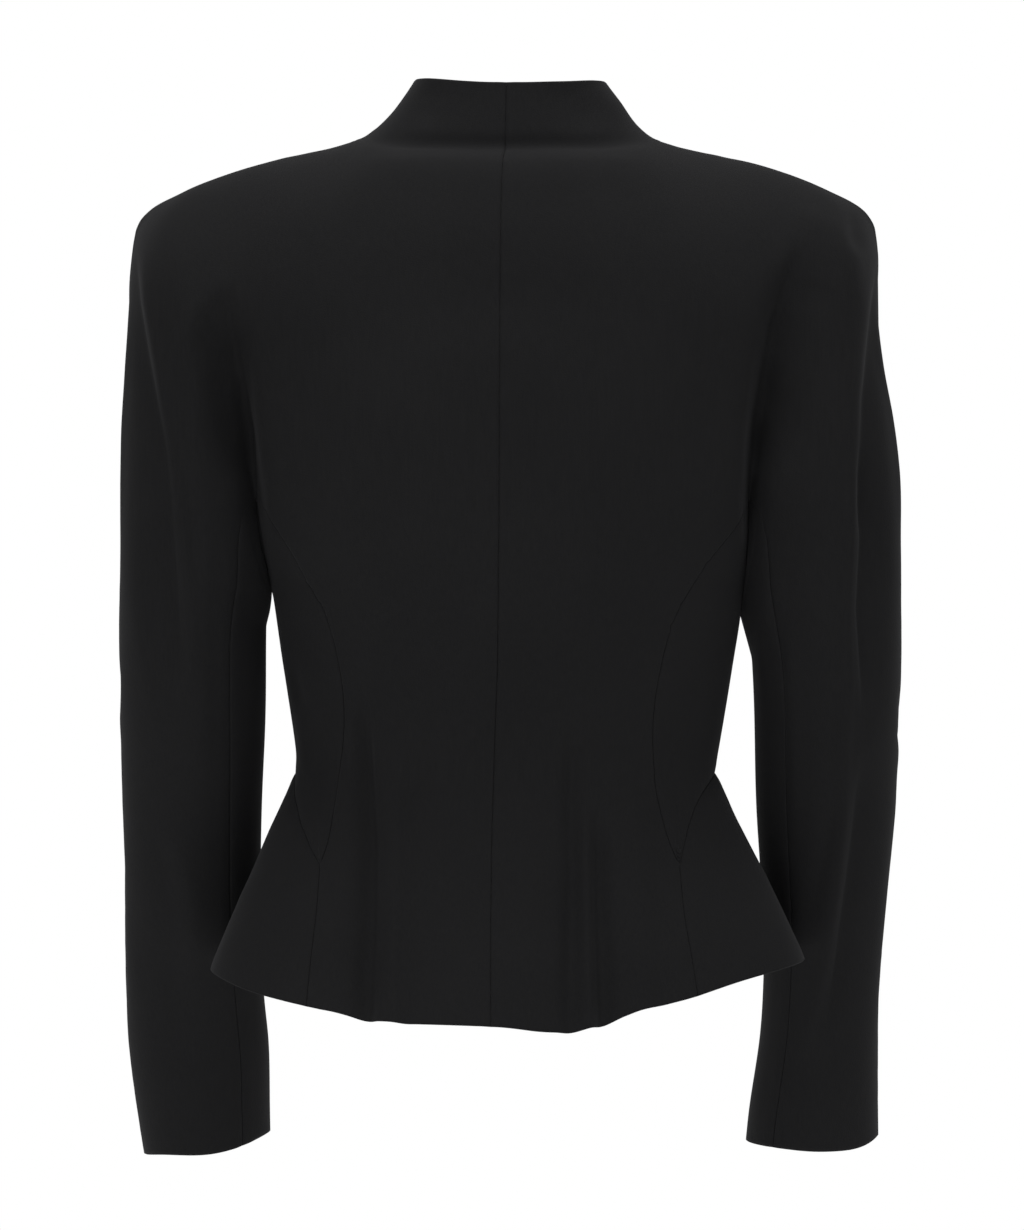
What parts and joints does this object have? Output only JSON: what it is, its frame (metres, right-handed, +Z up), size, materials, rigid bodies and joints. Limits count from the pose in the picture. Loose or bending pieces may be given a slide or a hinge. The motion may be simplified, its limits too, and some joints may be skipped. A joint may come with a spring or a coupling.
{
  "type": "peplum jacket",
  "caption": "Hollow, filled-out kimono-cut jacket with square shoulders, a grown-on stand collar, long sleeves and a flared peplum.",
  "frame": {"origin": "middle of the neck at the level of the nape, where the wearer's neck and shoulders hold the jacket", "axes": "+Z up, the front faces -Y, the wearer's left is +X"},
  "size_m": [0.4744, 0.2756, 0.6565],
  "materials": {
    "crepe": "matt black wool crepe with a fine dry grain"
  },
  "bodies": {
    "root": {"back_left": "crepe", "back_right": "crepe", "front_left": "crepe", "front_right": "crepe", "side_panel_left": "crepe", "side_panel_right": "crepe", "under_sleeve_left": "crepe", "under_sleeve_right": "crepe", "hip_godet_left": "crepe", "hip_godet_right": "crepe"}
  },
  "joints": []
}
